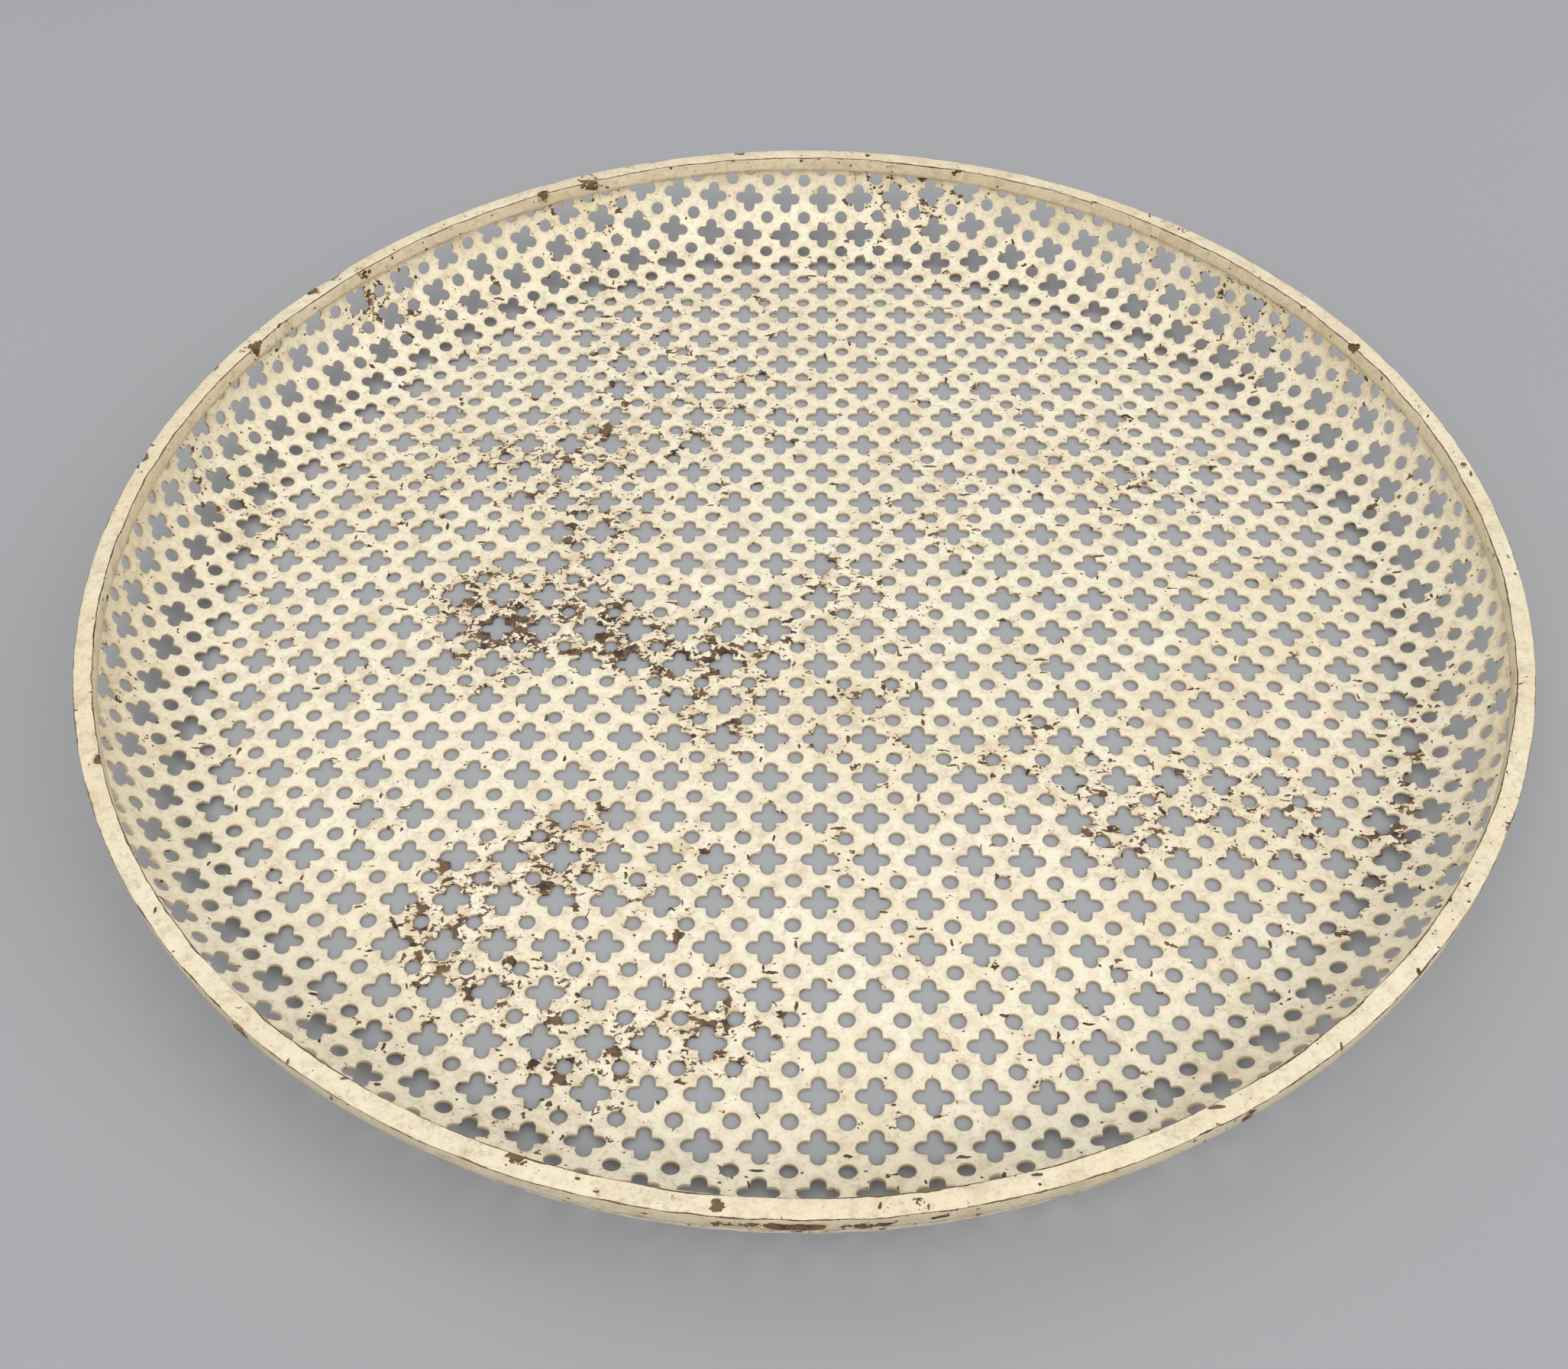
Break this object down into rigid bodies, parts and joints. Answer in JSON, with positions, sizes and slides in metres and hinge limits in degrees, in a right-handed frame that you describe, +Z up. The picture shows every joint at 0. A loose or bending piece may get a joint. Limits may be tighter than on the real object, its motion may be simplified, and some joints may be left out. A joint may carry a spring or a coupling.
{
  "type": "hood dryer diffuser plate",
  "caption": "Shallow round perforated pan with a square-bar hoop welded round its edge, which spreads the air of a salon hood dryer.",
  "frame": {"origin": "centre of the pan's underside, which is the bottom centre of the whole object", "axes": "+Z up, out of the pan's open side, along the hoop's axis; +X and +Y along the rows of quatrefoils"},
  "size_m": [0.3714, 0.3714, 0.0298],
  "materials": {
    "cream_paint": "worn cream gloss paint over brown",
    "weld_paint": "cream paint, stained at the weld"
  },
  "bodies": {
    "root": {"perforated_pan": "cream_paint", "rim_hoop": "cream_paint", "hoop_butt_weld": "weld_paint", "tack_welds": "weld_paint"}
  },
  "joints": []
}
